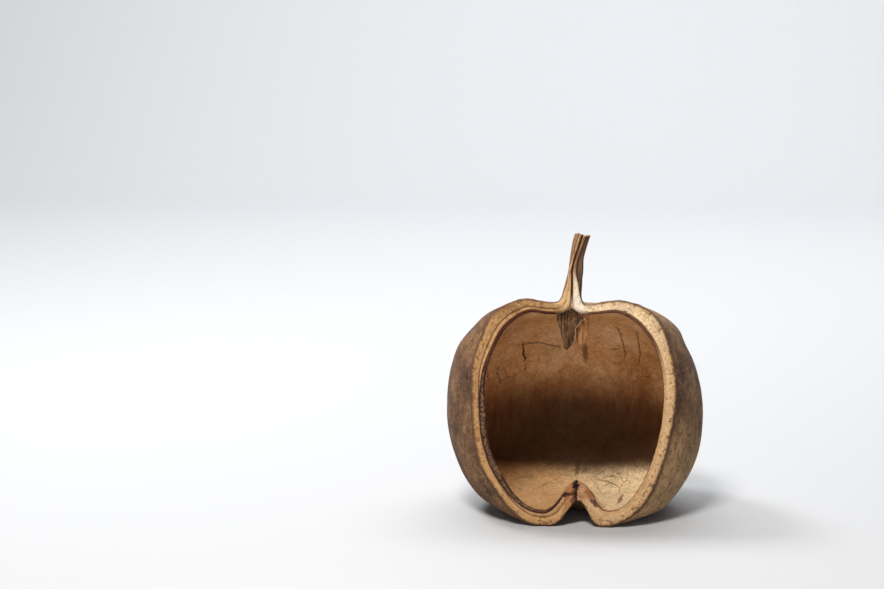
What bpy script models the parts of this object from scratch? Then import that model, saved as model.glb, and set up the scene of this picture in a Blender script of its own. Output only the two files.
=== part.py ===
# A buddha nut: the dry, woody half shell of a winged-seed tree's fruit, open at the front, with its stalk.
# Metres, +Z up. The shell leans back a little on two lobes of its rim and on a small flat spot under its weight.
# The origin is the middle of that flat spot, and the hollow faces -Y.
#
# The shell is one skin of closed rings, strung from the stalk's cut end down to the beak between the lobes.
# Each ring runs round the outside from the right rim to the left rim, over the left rim's face, back along the
# inside of the hollow, and over the right rim's face. In the stalk the inside shrinks to a thin seam.

import math

import bmesh
import bpy
import numpy as np

MM = 0.001

# how the shell stands
LEAN_DEG = 5.5            # the rim's plane leans back by this much
LOBE_DROP = 53.4          # mm from the middle of the opening down to the lobes
LOBE_CLEARANCE = 0.15     # mm that the lobes' lowest line lies above the ground
REST_BACK = 50.0          # mm from the rim's plane back to the middle of the flat spot

# how fine the rings are
OUTER_STEPS = 28
INNER_STEPS = 24
ROWS_PER_STATION = 2

# the rim's face, from its outer edge (0) to its inner edge (1): how far each line stands back, in mm
RIM_FACE = ((0.0, 1.0), (0.10, 0.05), (0.42, 0.15), (0.62, 0.75), (0.80, 0.20), (1.0, 1.2))

# Each station gives, in mm from the middle of the opening (x right, z up, y back from the rim's plane):
# the rim's outer edge at the right and at the left (x, z), the widest reach of the side at each hand,
# and the outer wall's back (y, z)
OUTSIDE = (
    # right edge      left edge       widest r, l     back            front
    ((4.0, 82.6),    (1.3, 84.0),    (6.1, 0.8),     (11.2, 83.2),   4.6),
    ((2.8, 79.0),    (0.0, 79.0),    (4.9, 2.0),     (10.2, 79.0),   4.0),
    ((0.4, 72.0),    (-2.2, 72.0),   (3.0, 3.3),     (8.9, 72.0),    2.5),
    ((-0.5, 66.0),   (-3.6, 66.0),   (2.5, 4.2),     (8.4, 66.0),    1.3),
    ((0.6, 60.5),    (-4.4, 60.5),   (2.4, 5.3),     (8.6, 60.5),    0.6),
    ((1.3, 56.0),    (-5.6, 56.0),   (2.2, 6.4),     (9.3, 56.6),    0.2),
    ((2.2, 52.8),    (-6.9, 52.9),   (2.7, 7.5),     (10.4, 54.0),   0.0),
    ((4.0, 50.4),    (-8.8, 51.4),   (4.3, 9.2),     (12.6, 52.3),   0.0),
    ((7.8, 50.9),    (-12.2, 51.7),  (8.2, 12.6),    (16.6, 51.3),   0.0),
    ((13.0, 52.2),   (-17.4, 52.7),  (13.2, 17.6),   (23.0, 50.6),   0.0),
    ((21.0, 52.8),   (-25.4, 53.1),  (21.2, 25.6),   (33.5, 49.6),   0.0),
    ((29.8, 50.6),   (-33.6, 49.9),  (30.6, 34.8),   (46.0, 47.6),   0.0),
    ((36.6, 46.2),   (-39.9, 45.0),  (40.0, 43.0),   (56.5, 44.4),   0.0),
    ((41.2, 38.8),   (-43.6, 36.8),  (48.2, 50.4),   (68.0, 38.8),   0.0),
    ((44.1, 30.3),   (-46.9, 28.4),  (52.4, 56.4),   (77.4, 31.9),   0.0),
    ((46.2, 21.5),   (-48.7, 19.8),  (56.6, 59.8),   (85.4, 23.0),   0.0),
    ((47.1, 12.6),   (-48.8, 10.8),  (59.4, 61.8),   (91.0, 12.6),   0.0),
    ((46.9, 3.7),    (-48.4, 1.8),   (60.9, 62.6),   (93.8, 1.2),    0.0),
    ((45.7, -5.2),   (-48.0, -7.2),  (61.0, 62.4),   (93.2, -10.4),  0.0),
    ((43.8, -14.0),  (-46.7, -16.1), (59.8, 60.7),   (89.0, -21.8),  0.0),
    ((41.4, -22.6),  (-44.4, -24.8), (57.0, 57.3),   (81.8, -32.6),  0.0),
    ((38.6, -31.1),  (-40.0, -32.6), (52.6, 52.6),   (72.4, -41.6),  0.0),
    ((34.8, -39.2),  (-34.8, -40.2), (47.0, 46.0),   (61.6, -48.0),  0.0),
    ((29.8, -45.6),  (-29.6, -46.4), (41.2, 38.2),   (50.6, -49.5),  0.0),
    ((24.2, -49.8),  (-24.2, -50.9), (33.2, 29.8),   (40.6, -50.1),  0.0),
    ((18.8, -52.4),  (-18.8, -52.9), (23.8, 22.0),   (32.2, -50.4),  0.0),
    ((13.2, -53.3),  (-12.9, -53.4), (15.8, 14.2),   (24.4, -49.9),  0.1),
    ((9.6, -51.9),   (-8.9, -52.7),  (10.8, 9.6),    (18.8, -48.8),  0.3),
    ((7.2, -48.7),   (-5.7, -50.2),  (8.0, 6.2),     (14.0, -47.4),  0.6),
    ((5.4, -45.5),   (-3.4, -46.9),  (6.0, 3.8),     (9.8, -45.8),   1.0),
    ((3.7, -43.0),   (-1.2, -44.0),  (4.1, 1.5),     (6.4, -44.4),   1.5),
    ((2.2, -41.8),   (0.5, -42.4),   (2.4, -0.3),    (4.6, -43.0),   2.1),
)

# The same stations on the inside: the rim's inner edge at the right and at the left (x, z), the widest reach
# of the hollow at each hand, and its back (y, z)
INSIDE = (
    ((3.0, 83.2),    (2.3, 83.3),    (3.0, -2.3),    (5.6, 83.3)),
    ((1.75, 79.0),   (1.05, 79.0),   (1.75, -1.05),  (5.0, 79.0)),
    ((-0.5, 72.0),   (-1.3, 72.0),   (-0.5, 1.3),    (3.7, 72.0)),
    ((-1.6, 66.0),   (-2.5, 66.0),   (-1.6, 2.5),    (2.7, 66.0)),
    ((-1.5, 60.5),   (-2.5, 60.5),   (-1.5, 2.5),    (2.2, 60.5)),
    ((-1.5, 56.0),   (-2.6, 56.0),   (-1.5, 2.6),    (2.2, 56.0)),
    ((-1.4, 52.2),   (-2.8, 52.2),   (-1.4, 2.8),    (2.6, 52.0)),
    ((-0.6, 48.6),   (-3.8, 48.9),   (-0.4, 4.0),    (4.0, 48.6)),
    ((3.0, 46.2),    (-7.4, 46.4),   (3.6, 8.0),     (9.4, 46.4)),
    ((8.8, 46.2),    (-13.0, 46.0),  (9.4, 13.6),    (17.6, 45.2)),
    ((18.4, 46.9),   (-21.7, 46.7),  (18.9, 22.2),   (28.6, 44.2)),
    ((26.0, 43.9),   (-29.2, 42.6),  (27.2, 30.6),   (42.4, 42.4)),
    ((31.6, 38.7),   (-34.2, 37.0),  (34.6, 37.8),   (52.6, 39.6)),
    ((36.1, 32.2),   (-38.0, 29.8),  (41.6, 44.4),   (63.6, 34.4)),
    ((38.8, 25.4),   (-40.8, 22.8),  (46.8, 50.4),   (72.6, 28.2)),
    ((40.3, 17.9),   (-42.2, 15.8),  (51.0, 54.0),   (80.2, 20.2)),
    ((40.9, 10.2),   (-42.3, 8.4),   (53.8, 56.2),   (85.6, 11.0)),
    ((40.7, 2.6),    (-42.0, 0.8),   (55.4, 57.0),   (88.2, 1.0)),
    ((39.9, -5.4),   (-41.5, -6.9),  (55.4, 56.8),   (87.6, -9.2)),
    ((38.4, -13.3),  (-40.0, -14.8), (54.2, 55.0),   (83.8, -19.4)),
    ((36.2, -21.0),  (-37.4, -22.6), (51.4, 51.6),   (77.0, -29.2)),
    ((33.2, -28.7),  (-33.6, -30.2), (47.2, 47.0),   (68.4, -37.0)),
    ((29.6, -35.8),  (-29.4, -36.6), (41.6, 40.4),   (58.4, -42.2)),
    ((25.6, -41.0),  (-25.0, -41.4), (34.8, 33.0),   (48.8, -44.0)),
    ((21.4, -44.2),  (-20.8, -44.2), (27.2, 25.2),   (39.6, -44.7)),
    ((17.3, -45.7),  (-17.0, -45.6), (21.0, 19.4),   (31.6, -44.8)),
    ((13.4, -45.3),  (-13.0, -45.8), (15.0, 14.2),   (24.2, -43.8)),
    ((10.9, -42.8),  (-10.0, -44.0), (11.8, 10.8),   (18.8, -42.4)),
    ((9.0, -39.4),   (-7.4, -41.2),  (9.6, 7.9),     (14.2, -40.8)),
    ((7.0, -35.8),   (-4.9, -37.8),  (7.4, 5.2),     (10.4, -39.0)),
    ((4.4, -33.2),   (-2.2, -35.2),  (4.7, 2.4),     (7.8, -37.2)),
    ((2.0, -33.8),   (0.8, -34.6),   (2.1, -0.7),    (5.6, -35.6)),
)

# ridges along the stalk, which wind a little as they climb, in mm
STALK_RIDGES = 6
STALK_RIDGE_DEPTH = 0.32
STALK_WINDING = 0.25
LAST_STALK_STATION = 6.0

# slow swells of the wall, as (depth in mm, waves round the back, waves from stalk to beak, start)
SWELLS = ((0.55, 3.0, 4.0, 0.6), (0.40, 5.0, -7.0, 2.1), (0.30, 2.0, 11.0, 1.6))
SWELL_STATIONS = (9.0, 14.0, 22.0, 27.0)   # none before the first, full between the middle two, none after
WALL_CENTRE = (0.0, 35.0, 0.0)

# a rim this wide has the full relief of RIM_FACE, and a narrower one has its share of it, in mm
FULL_RIM_WIDTH = 6.0
LEAST_RIM_SHARE = 0.1

# the flap under the stalk: middle (x, y, z), half width, half thickness, in mm, from its root to its tip
FLAP = (
    ((-2.9, 7.0, 49.5), 4.2, 2.2),
    ((-2.9, 6.6, 46.0), 5.7, 2.1),
    ((-2.5, 6.2, 43.0), 5.9, 1.9),
    ((-3.3, 5.8, 39.5), 4.1, 1.7),
    ((-3.2, 5.6, 35.5), 3.3, 1.5),
    ((-3.1, 5.6, 32.0), 2.5, 1.2),
    ((-3.7, 5.8, 29.2), 1.1, 0.9),
)
SIDE_FLAP = (
    ((2.6, 11.0, 49.0), 3.3, 2.6),
    ((2.9, 10.6, 45.5), 3.4, 2.6),
    ((3.1, 10.2, 41.5), 3.2, 2.5),
    ((3.0, 9.8, 37.0), 2.9, 2.3),
    ((2.6, 9.6, 33.5), 2.5, 1.9),
    ((1.9, 9.6, 30.9), 1.4, 1.2),
)
FLAP_SIDES = 12


# A smooth curve through the stations: each column runs through its values as a Catmull-Rom spline.
def through_stations(values, where):
    values = np.asarray(values, dtype=float)
    last = len(values) - 1
    first = np.clip(np.floor(where).astype(int), 0, last - 1)
    t = where - first
    before = values[np.clip(first - 1, 0, last)]
    here = values[first]
    after = values[first + 1]
    beyond = values[np.clip(first + 2, 0, last)]
    t = t.reshape((-1,) + (1,) * (values.ndim - 1))
    slope_in = 0.5 * (after - before)
    slope_out = 0.5 * (beyond - here)
    return ((2 * t**3 - 3 * t**2 + 1) * here + (t**3 - 2 * t**2 + t) * slope_in
            + (3 * t**2 - 2 * t**3) * after + (t**3 - t**2) * slope_out)


def column(table, index):
    return [row[index] for row in table]


# One half of an arc, from the rim (share 0) round to the back (share 1): part of an ellipse that starts past
# its widest point where the side bulges beyond the rim. Gives how far across (1 at the rim, 0 at the back)
# and how far back (0 to 1) each point lies.
def half_arc(edge, widest, share):
    start = np.arccos(np.clip(edge / np.maximum(widest, edge), 0.0, 1.0))
    angle = -start[:, None] + (math.pi / 2 + start[:, None]) * share[None, :]
    across = np.cos(angle) / np.cos(start[:, None])
    back = (np.sin(angle) + np.sin(start[:, None])) / (1.0 + np.sin(start[:, None]))
    return across, back


# The arc of every row, from the right rim round the back to the left rim, as an array (rows, points, xyz).
def arcs(right, left, widest, back, front, steps):
    share = np.linspace(0.0, 1.0, steps // 2 + 1)
    middle = 0.5 * (right[:, 0] + left[:, 0])
    rear = 0.5 * (widest[:, 0] - widest[:, 1])
    half_right = right[:, 0] - middle
    half_left = middle - left[:, 0]
    side_right = widest[:, 0] - middle
    side_left = widest[:, 1] + middle
    across_r, back_r = half_arc(half_right, side_right, share)
    across_l, back_l = half_arc(half_left, side_left, share)
    halves = []
    for across, depth, half, edge, sign in ((across_r, back_r, half_right, right, 1.0),
                                            (across_l, back_l, half_left, left, -1.0)):
        x = middle[:, None] * (1.0 - depth) + rear[:, None] * depth + sign * half[:, None] * across
        y = front[:, None] + (back[:, 0] - front)[:, None] * depth
        centre_z = 0.5 * (right[:, 1] + left[:, 1])
        rim_z = centre_z[:, None] + (edge[:, 1] - centre_z)[:, None] * np.clip(across, 0.0, 1.0)
        z = rim_z * (1.0 - depth) + back[:, 1][:, None] * depth
        halves.append(np.stack((x, y, z), axis=-1))
    return np.concatenate((halves[0], halves[1][:, -2::-1]), axis=1)


# Slow, shallow swells of a grown wall, in mm: nothing at the rim, most at the back and the sides.
def swells(angle, rows):
    height = rows[:, None] / len(OUTSIDE)
    wave = sum(depth * np.sin(round_back * angle + down * height + start)
               for depth, round_back, down, start in SWELLS)
    begin, full, wane, end = SWELL_STATIONS
    fade = np.clip((rows - begin) / (full - begin), 0.0, 1.0) * np.clip((end - rows) / (end - wane), 0.0, 1.0)
    return wave * np.sin(angle) ** 2 * fade[:, None]


# How much of the rim's full relief a rim of this width has.
def rim_share(outer_edge, inner_edge):
    width = np.linalg.norm(outer_edge - inner_edge, axis=1)
    return np.clip(width / FULL_RIM_WIDTH, LEAST_RIM_SHARE, 1.0)


# The face of the rim at one hand, between its outer and its inner edge: a lifted outer line, a corky band,
# a groove and a thin inner ridge, set back by the shares in RIM_FACE.
def rim_face(outer_edge, inner_edge):
    size = rim_share(outer_edge, inner_edge)
    strips = []
    for share, stand_back in RIM_FACE[1:-1]:
        strip = outer_edge * (1.0 - share) + inner_edge * share
        level = (1.0 - share) * RIM_FACE[0][1] + share * RIM_FACE[-1][1]
        strip[:, 1] += (stand_back - level) * size
        strips.append(strip)
    return np.stack(strips, axis=1)


# All the rings of the shell, as an array (rows, points round, xyz) in mm in the rim's own frame.
def shell_rings():
    rows = np.linspace(0.0, len(OUTSIDE) - 1.0, (len(OUTSIDE) - 1) * ROWS_PER_STATION + 1)
    right, left, widest, back = (through_stations(column(OUTSIDE, i), rows) for i in range(4))
    front = through_stations(column(OUTSIDE, 4), rows)
    right_in, left_in, widest_in, back_in = (through_stations(column(INSIDE, i), rows) for i in range(4))

    rim_size = rim_share(right, right_in)
    outer = arcs(right, left, widest, back, front + RIM_FACE[0][1] * rim_size, OUTER_STEPS)
    inner = arcs(right_in, left_in, widest_in, back_in, front + RIM_FACE[-1][1] * rim_size, INNER_STEPS)

    # ridges on the stalk, fading into the shoulders
    turn = np.linspace(0.0, 2.0 * math.pi, OUTER_STEPS + 1)[None, :]
    in_stalk = np.clip((LAST_STALK_STATION - rows) / 1.5, 0.0, 1.0)[:, None]
    ridge = STALK_RIDGE_DEPTH * np.cos(STALK_RIDGES * turn + STALK_WINDING * rows[:, None]) * in_stalk
    away = outer - outer.mean(axis=1, keepdims=True)
    away[:, :, 2] = 0.0
    away = away / np.linalg.norm(away, axis=2, keepdims=True)
    outer = outer + away * ridge[:, :, None]

    # the same swells on both faces of the wall, so that it keeps its thickness
    for skin, steps in ((outer, OUTER_STEPS), (inner, INNER_STEPS)):
        angle = np.linspace(0.0, math.pi, steps + 1)[None, :]
        out = skin - np.array(WALL_CENTRE)
        out = out / np.linalg.norm(out, axis=2, keepdims=True)
        skin += out * swells(angle, rows)[:, :, None]

    left_face = rim_face(outer[:, -1], inner[:, -1])
    right_face = rim_face(outer[:, 0], inner[:, 0])
    return np.concatenate((outer, left_face, inner[:, ::-1], right_face[:, ::-1]), axis=1)


# From the rim's own frame to the part's frame: lean back, stand on the ground, wear the underside flat.
def stand_up(points):
    lean = math.radians(LEAN_DEG)
    level = LOBE_DROP * math.cos(lean) + LOBE_CLEARANCE
    rest_y = REST_BACK * math.cos(lean) - LOBE_DROP * math.sin(lean)
    x = points[..., 0]
    y = points[..., 1] * math.cos(lean) + points[..., 2] * math.sin(lean) - rest_y
    z = points[..., 2] * math.cos(lean) - points[..., 1] * math.sin(lean) + level
    return np.stack((x, y, np.maximum(z, 0.0)), axis=-1) * MM


# The closed skin: quads between neighbouring rings, one face over the stalk's cut end, and a strip that joins
# the two hands of the last ring in the cleft of the beak.
def shell_mesh():
    rings = stand_up(shell_rings())
    row_count, around = rings.shape[:2]
    bm = bmesh.new()
    verts = [[bm.verts.new(tuple(map(float, p))) for p in ring] for ring in rings]
    for upper, lower in zip(verts[:-1], verts[1:]):
        for i in range(around):
            j = (i + 1) % around
            bm.faces.new((upper[i], lower[i], lower[j], upper[j]))
    bm.faces.new(verts[0])
    last = verts[-1]
    outer_mid = OUTER_STEPS // 2
    inner_mid = OUTER_STEPS + len(RIM_FACE) - 1 + INNER_STEPS // 2
    half = inner_mid - outer_mid
    right_side = [last[(outer_mid - k) % around] for k in range(half + 1)]
    left_side = [last[outer_mid + k] for k in range(half + 1)]
    bm.faces.new((left_side[1], left_side[0], right_side[1]))
    for k in range(1, half - 1):
        bm.faces.new((left_side[k + 1], left_side[k], right_side[k], right_side[k + 1]))
    bm.faces.new((left_side[half], left_side[half - 1], right_side[half - 1]))
    bm.normal_update()
    bmesh.ops.recalc_face_normals(bm, faces=bm.faces[:])
    mesh = bpy.data.meshes.new("nut_shell")
    bm.to_mesh(mesh)
    bm.free()
    return mesh


# A flap: flattened rings strung along its middle line, closed at both ends.
def flap_mesh(name, sections):
    bm = bmesh.new()
    rows = np.linspace(0.0, len(sections) - 1.0, (len(sections) - 1) * 2 + 1)
    centre, width, depth = (through_stations(column(sections, i), rows) for i in range(3))
    turn = np.linspace(0.0, 2.0 * math.pi, FLAP_SIDES, endpoint=False)
    fibre = 1.0 + 0.10 * np.cos(4.0 * turn + 0.7)
    points = np.stack((centre[:, 0, None] + width[:, None] * np.cos(turn) * fibre,
                       centre[:, 1, None] + depth[:, None] * np.sin(turn) * fibre,
                       centre[:, 2, None] + 0.0 * turn[None, :]), axis=-1)
    rings = stand_up(points)
    verts = [[bm.verts.new(tuple(map(float, p))) for p in ring] for ring in rings]
    for upper, lower in zip(verts[:-1], verts[1:]):
        for i in range(FLAP_SIDES):
            j = (i + 1) % FLAP_SIDES
            bm.faces.new((upper[i], lower[i], lower[j], upper[j]))
    bm.faces.new(verts[0])
    bm.faces.new(verts[-1])
    bmesh.ops.recalc_face_normals(bm, faces=bm.faces[:])
    mesh = bpy.data.meshes.new(name)
    bm.to_mesh(mesh)
    bm.free()
    return mesh


# Dry, woody husk: mid brown, matte.
def husk_material():
    material = bpy.data.materials.new("husk")
    material.use_nodes = True
    shader = material.node_tree.nodes["Principled BSDF"]
    shader.inputs["Base Color"].default_value = (0.19, 0.105, 0.058, 1.0)
    shader.inputs["Roughness"].default_value = 0.85
    shader.inputs["Metallic"].default_value = 0.0
    return material


# Join the flaps to the shell, so that the nut is one grown piece.
def join_flaps(shell, flaps):
    group = bpy.data.collections.new("flaps")
    bpy.context.scene.collection.children.link(group)
    for flap in flaps:
        group.objects.link(flap)
    union = shell.modifiers.new("join flaps", "BOOLEAN")
    union.operation = "UNION"
    union.solver = "EXACT"
    union.operand_type = "COLLECTION"
    union.collection = group
    depsgraph = bpy.context.evaluated_depsgraph_get()
    joined = bpy.data.meshes.new_from_object(shell.evaluated_get(depsgraph))
    shell.modifiers.clear()
    shell.data = joined
    joined.name = shell.name
    for flap in flaps:
        bpy.data.objects.remove(flap)
    bpy.data.collections.remove(group)


def main():
    for old in list(bpy.data.objects):
        bpy.data.objects.remove(old)
    shell = bpy.data.objects.new("nut_shell", shell_mesh())
    bpy.context.scene.collection.objects.link(shell)
    flaps = [bpy.data.objects.new("flap", flap_mesh("flap", FLAP)),
             bpy.data.objects.new("side_flap", flap_mesh("side_flap", SIDE_FLAP))]
    join_flaps(shell, flaps)
    shell.data.materials.clear()
    shell.data.materials.append(husk_material())
    shell.data.shade_smooth()
    shell.data.set_sharp_from_angle(angle=math.radians(50.0))


main()
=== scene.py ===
# Looks for the buddha nut: the dry, woody half shell of a winged-seed tree's fruit, with its stalk.
# Lengths in the tables are millimetres in the rim's own frame: x right, z up, y back from the rim's plane.
import math

import bpy
import numpy as np
from mathutils import Euler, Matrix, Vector


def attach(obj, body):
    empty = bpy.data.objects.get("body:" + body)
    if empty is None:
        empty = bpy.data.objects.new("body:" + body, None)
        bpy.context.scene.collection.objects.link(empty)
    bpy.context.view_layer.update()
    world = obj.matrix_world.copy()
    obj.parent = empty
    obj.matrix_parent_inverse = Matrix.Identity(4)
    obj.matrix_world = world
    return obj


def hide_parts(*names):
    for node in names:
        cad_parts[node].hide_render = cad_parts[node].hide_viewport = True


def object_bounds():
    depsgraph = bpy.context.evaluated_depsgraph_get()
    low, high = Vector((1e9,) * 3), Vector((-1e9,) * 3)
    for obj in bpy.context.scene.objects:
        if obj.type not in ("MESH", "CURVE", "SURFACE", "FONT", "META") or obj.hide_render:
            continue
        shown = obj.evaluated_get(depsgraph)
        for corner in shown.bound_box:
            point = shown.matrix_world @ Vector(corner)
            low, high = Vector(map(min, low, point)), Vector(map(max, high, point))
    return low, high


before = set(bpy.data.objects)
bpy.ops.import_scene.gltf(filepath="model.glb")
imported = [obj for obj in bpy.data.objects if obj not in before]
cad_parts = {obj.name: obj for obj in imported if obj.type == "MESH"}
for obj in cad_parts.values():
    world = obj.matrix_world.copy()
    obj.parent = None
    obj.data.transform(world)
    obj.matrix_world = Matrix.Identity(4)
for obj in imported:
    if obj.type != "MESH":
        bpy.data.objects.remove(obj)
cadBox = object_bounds()
millimetre = 0.001
print("frame loaded, box", [tuple(round(v, 4) for v in corner) for corner in cadBox])

# stations from the stalk's cut end down to the beak between the lobes:
# right edge (x, z), left edge (x, z), widest reach right and left, back (y, z), front y
outsideStations = (
    ((4.0, 82.6), (1.3, 84.0), (6.1, 0.8), (11.2, 83.2), 4.6),
    ((2.8, 79.0), (0.0, 79.0), (4.9, 2.0), (10.2, 79.0), 4.0),
    ((0.4, 72.0), (-2.2, 72.0), (3.0, 3.3), (8.9, 72.0), 2.5),
    ((-0.5, 66.0), (-3.6, 66.0), (2.5, 4.2), (8.4, 66.0), 1.3),
    ((0.6, 60.5), (-4.4, 60.5), (2.4, 5.3), (8.6, 60.5), 0.6),
    ((1.3, 56.0), (-5.6, 56.0), (2.2, 6.4), (9.3, 56.6), 0.2),
    ((2.2, 52.8), (-6.9, 52.9), (2.7, 7.5), (10.4, 54.0), 0.0),
    ((4.0, 50.4), (-8.8, 51.4), (4.3, 9.2), (12.6, 52.3), 0.0),
    ((7.8, 50.9), (-12.2, 51.7), (8.2, 12.6), (16.6, 51.3), 0.0),
    ((13.0, 52.2), (-17.4, 52.7), (13.2, 17.6), (23.0, 50.6), 0.0),
    ((21.0, 52.8), (-25.4, 53.1), (21.2, 25.6), (33.5, 49.6), 0.0),
    ((29.8, 50.6), (-33.6, 49.9), (30.6, 34.8), (46.0, 47.6), 0.0),
    ((36.6, 46.2), (-39.9, 45.0), (40.0, 43.0), (56.5, 44.4), 0.0),
    ((41.2, 38.8), (-43.6, 36.8), (48.2, 50.4), (68.0, 38.8), 0.0),
    ((44.1, 30.3), (-46.9, 28.4), (52.4, 56.4), (77.4, 31.9), 0.0),
    ((46.2, 21.5), (-48.7, 19.8), (56.6, 59.8), (85.4, 23.0), 0.0),
    ((47.1, 12.6), (-48.8, 10.8), (59.4, 61.8), (91.0, 12.6), 0.0),
    ((46.9, 3.7), (-48.4, 1.8), (60.9, 62.6), (93.8, 1.2), 0.0),
    ((45.7, -5.2), (-48.0, -7.2), (61.0, 62.4), (93.2, -10.4), 0.0),
    ((43.8, -14.0), (-46.7, -16.1), (59.8, 60.7), (89.0, -21.8), 0.0),
    ((41.4, -22.6), (-44.4, -24.8), (57.0, 57.3), (81.8, -32.6), 0.0),
    ((38.6, -31.1), (-40.0, -32.6), (52.6, 52.6), (72.4, -41.6), 0.0),
    ((34.8, -39.2), (-34.8, -40.2), (47.0, 46.0), (61.6, -48.0), 0.0),
    ((29.8, -45.6), (-29.6, -46.4), (41.2, 38.2), (50.6, -49.5), 0.0),
    ((24.2, -49.8), (-24.2, -50.9), (33.2, 29.8), (40.6, -50.1), 0.0),
    ((18.8, -52.4), (-18.8, -52.9), (23.8, 22.0), (32.2, -50.4), 0.0),
    ((13.2, -53.3), (-12.9, -53.4), (15.8, 14.2), (24.4, -49.9), 0.1),
    ((9.6, -51.9), (-8.9, -52.7), (10.8, 9.6), (18.8, -48.8), 0.3),
    ((7.2, -48.7), (-5.7, -50.2), (8.0, 6.2), (14.0, -47.4), 0.6),
    ((5.4, -45.5), (-3.4, -46.9), (6.0, 3.8), (9.8, -45.8), 1.0),
    ((3.7, -43.0), (-1.2, -44.0), (4.1, 1.5), (6.4, -44.4), 1.5),
    ((2.2, -41.8), (0.5, -42.4), (2.4, -0.3), (4.6, -43.0), 2.1),
)
# the same stations inside: right edge (x, z), left edge (x, z), widest reach right and left, back (y, z)
insideStations = (
    ((3.0, 83.2), (2.3, 83.3), (3.0, -2.3), (5.6, 83.3)),
    ((1.75, 79.0), (1.05, 79.0), (1.75, -1.05), (5.0, 79.0)),
    ((-0.5, 72.0), (-1.3, 72.0), (-0.5, 1.3), (3.7, 72.0)),
    ((-1.6, 66.0), (-2.5, 66.0), (-1.6, 2.5), (2.7, 66.0)),
    ((-1.5, 60.5), (-2.5, 60.5), (-1.5, 2.5), (2.2, 60.5)),
    ((-1.5, 56.0), (-2.6, 56.0), (-1.5, 2.6), (2.2, 56.0)),
    ((-1.4, 52.2), (-2.8, 52.2), (-1.4, 2.8), (2.6, 52.0)),
    ((-0.6, 48.6), (-3.8, 48.9), (-0.4, 4.0), (4.0, 48.6)),
    ((3.0, 46.2), (-7.4, 46.4), (3.6, 8.0), (9.4, 46.4)),
    ((8.8, 46.2), (-13.0, 46.0), (9.4, 13.6), (17.6, 45.2)),
    ((18.4, 46.9), (-21.7, 46.7), (18.9, 22.2), (28.6, 44.2)),
    ((26.0, 43.9), (-29.2, 42.6), (27.2, 30.6), (42.4, 42.4)),
    ((31.6, 38.7), (-34.2, 37.0), (34.6, 37.8), (52.6, 39.6)),
    ((36.1, 32.2), (-38.0, 29.8), (41.6, 44.4), (63.6, 34.4)),
    ((38.8, 25.4), (-40.8, 22.8), (46.8, 50.4), (72.6, 28.2)),
    ((40.3, 17.9), (-42.2, 15.8), (51.0, 54.0), (80.2, 20.2)),
    ((40.9, 10.2), (-42.3, 8.4), (53.8, 56.2), (85.6, 11.0)),
    ((40.7, 2.6), (-42.0, 0.8), (55.4, 57.0), (88.2, 1.0)),
    ((39.9, -5.4), (-41.5, -6.9), (55.4, 56.8), (87.6, -9.2)),
    ((38.4, -13.3), (-40.0, -14.8), (54.2, 55.0), (83.8, -19.4)),
    ((36.2, -21.0), (-37.4, -22.6), (51.4, 51.6), (77.0, -29.2)),
    ((33.2, -28.7), (-33.6, -30.2), (47.2, 47.0), (68.4, -37.0)),
    ((29.6, -35.8), (-29.4, -36.6), (41.6, 40.4), (58.4, -42.2)),
    ((25.6, -41.0), (-25.0, -41.4), (34.8, 33.0), (48.8, -44.0)),
    ((21.4, -44.2), (-20.8, -44.2), (27.2, 25.2), (39.6, -44.7)),
    ((17.3, -45.7), (-17.0, -45.6), (21.0, 19.4), (31.6, -44.8)),
    ((13.4, -45.3), (-13.0, -45.8), (15.0, 14.2), (24.2, -43.8)),
    ((10.9, -42.8), (-10.0, -44.0), (11.8, 10.8), (18.8, -42.4)),
    ((9.0, -39.4), (-7.4, -41.2), (9.6, 7.9), (14.2, -40.8)),
    ((7.0, -35.8), (-4.9, -37.8), (7.4, 5.2), (10.4, -39.0)),
    ((4.4, -33.2), (-2.2, -35.2), (4.7, 2.4), (7.8, -37.2)),
    ((2.0, -33.8), (0.8, -34.6), (2.1, -0.7), (5.6, -35.6)),
)

shell = {
    "leanDegrees": 5.5,           # the rim's plane leans back
    "lobeDrop": 53.4,             # from the middle of the opening down to the lobes
    "lobeClearance": 0.15,
    "restBack": 50.0,             # from the rim's plane back to the middle of the flat spot
    "rows": 398,
    "outerHalf": 40,              # steps from the rim to the back, outside
    "innerHalf": 60,              # and inside
    "rimSteps": 22,
    "outerCrowding": 1.5,         # above 1 the lines crowd towards the rim
    "innerCrowding": 1.25,
    "fullRimWidth": 6.0,
    "leastRimShare": 0.1,
    "swells": ((0.55, 3.0, 4.0, 0.6), (0.40, 5.0, -7.0, 2.1), (0.30, 2.0, 11.0, 1.6)),
    "swellStations": (9.0, 14.0, 22.0, 27.0),
    "wallCentre": (0.0, 35.0, 0.0),
    # set-back of the rim's face from its outer to its inner edge
    "leftFace": ((0.0, 1.0), (0.06, 0.25), (0.12, 0.05), (0.30, 0.0), (0.46, 0.22), (0.55, 0.75), (0.62, 0.80),
                 (0.72, 0.38), (0.82, 0.25), (0.92, 0.55), (1.0, 1.2)),
    "rightFace": ((0.0, 1.0), (0.05, 0.48), (0.12, 0.15), (0.30, 0.0), (0.60, 0.08), (0.80, 0.32), (0.92, 0.72),
                  (1.0, 1.2)),
    # share of the left face at which the pale cork ends and the purple line starts, by station
    "leftPaleShare": ((7.0, 0.70), (9.0, 0.80), (14.0, 0.78), (16.5, 0.56), (21.0, 0.56), (24.0, 0.74), (27.0, 0.86),
                      (31.0, 0.92)),
    "rightPaleShare": 0.98,
    "leftGrooveShare": 0.57,
    "ridgeCount": 6,
    "ridgeDepth": 0.32,
    "ridgeWinding": 0.25,
    "corkRelief": 0.36,
    "pitDepth": 0.34,
    "raggedEdge": 0.62,
    "pleatDepth": 0.30,
    "pleatSpacing": 3.6,
    "floorRidge": (1.2, 4.8, 6.0),  # place across, half width and height of the floor's low ridge
}

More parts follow.
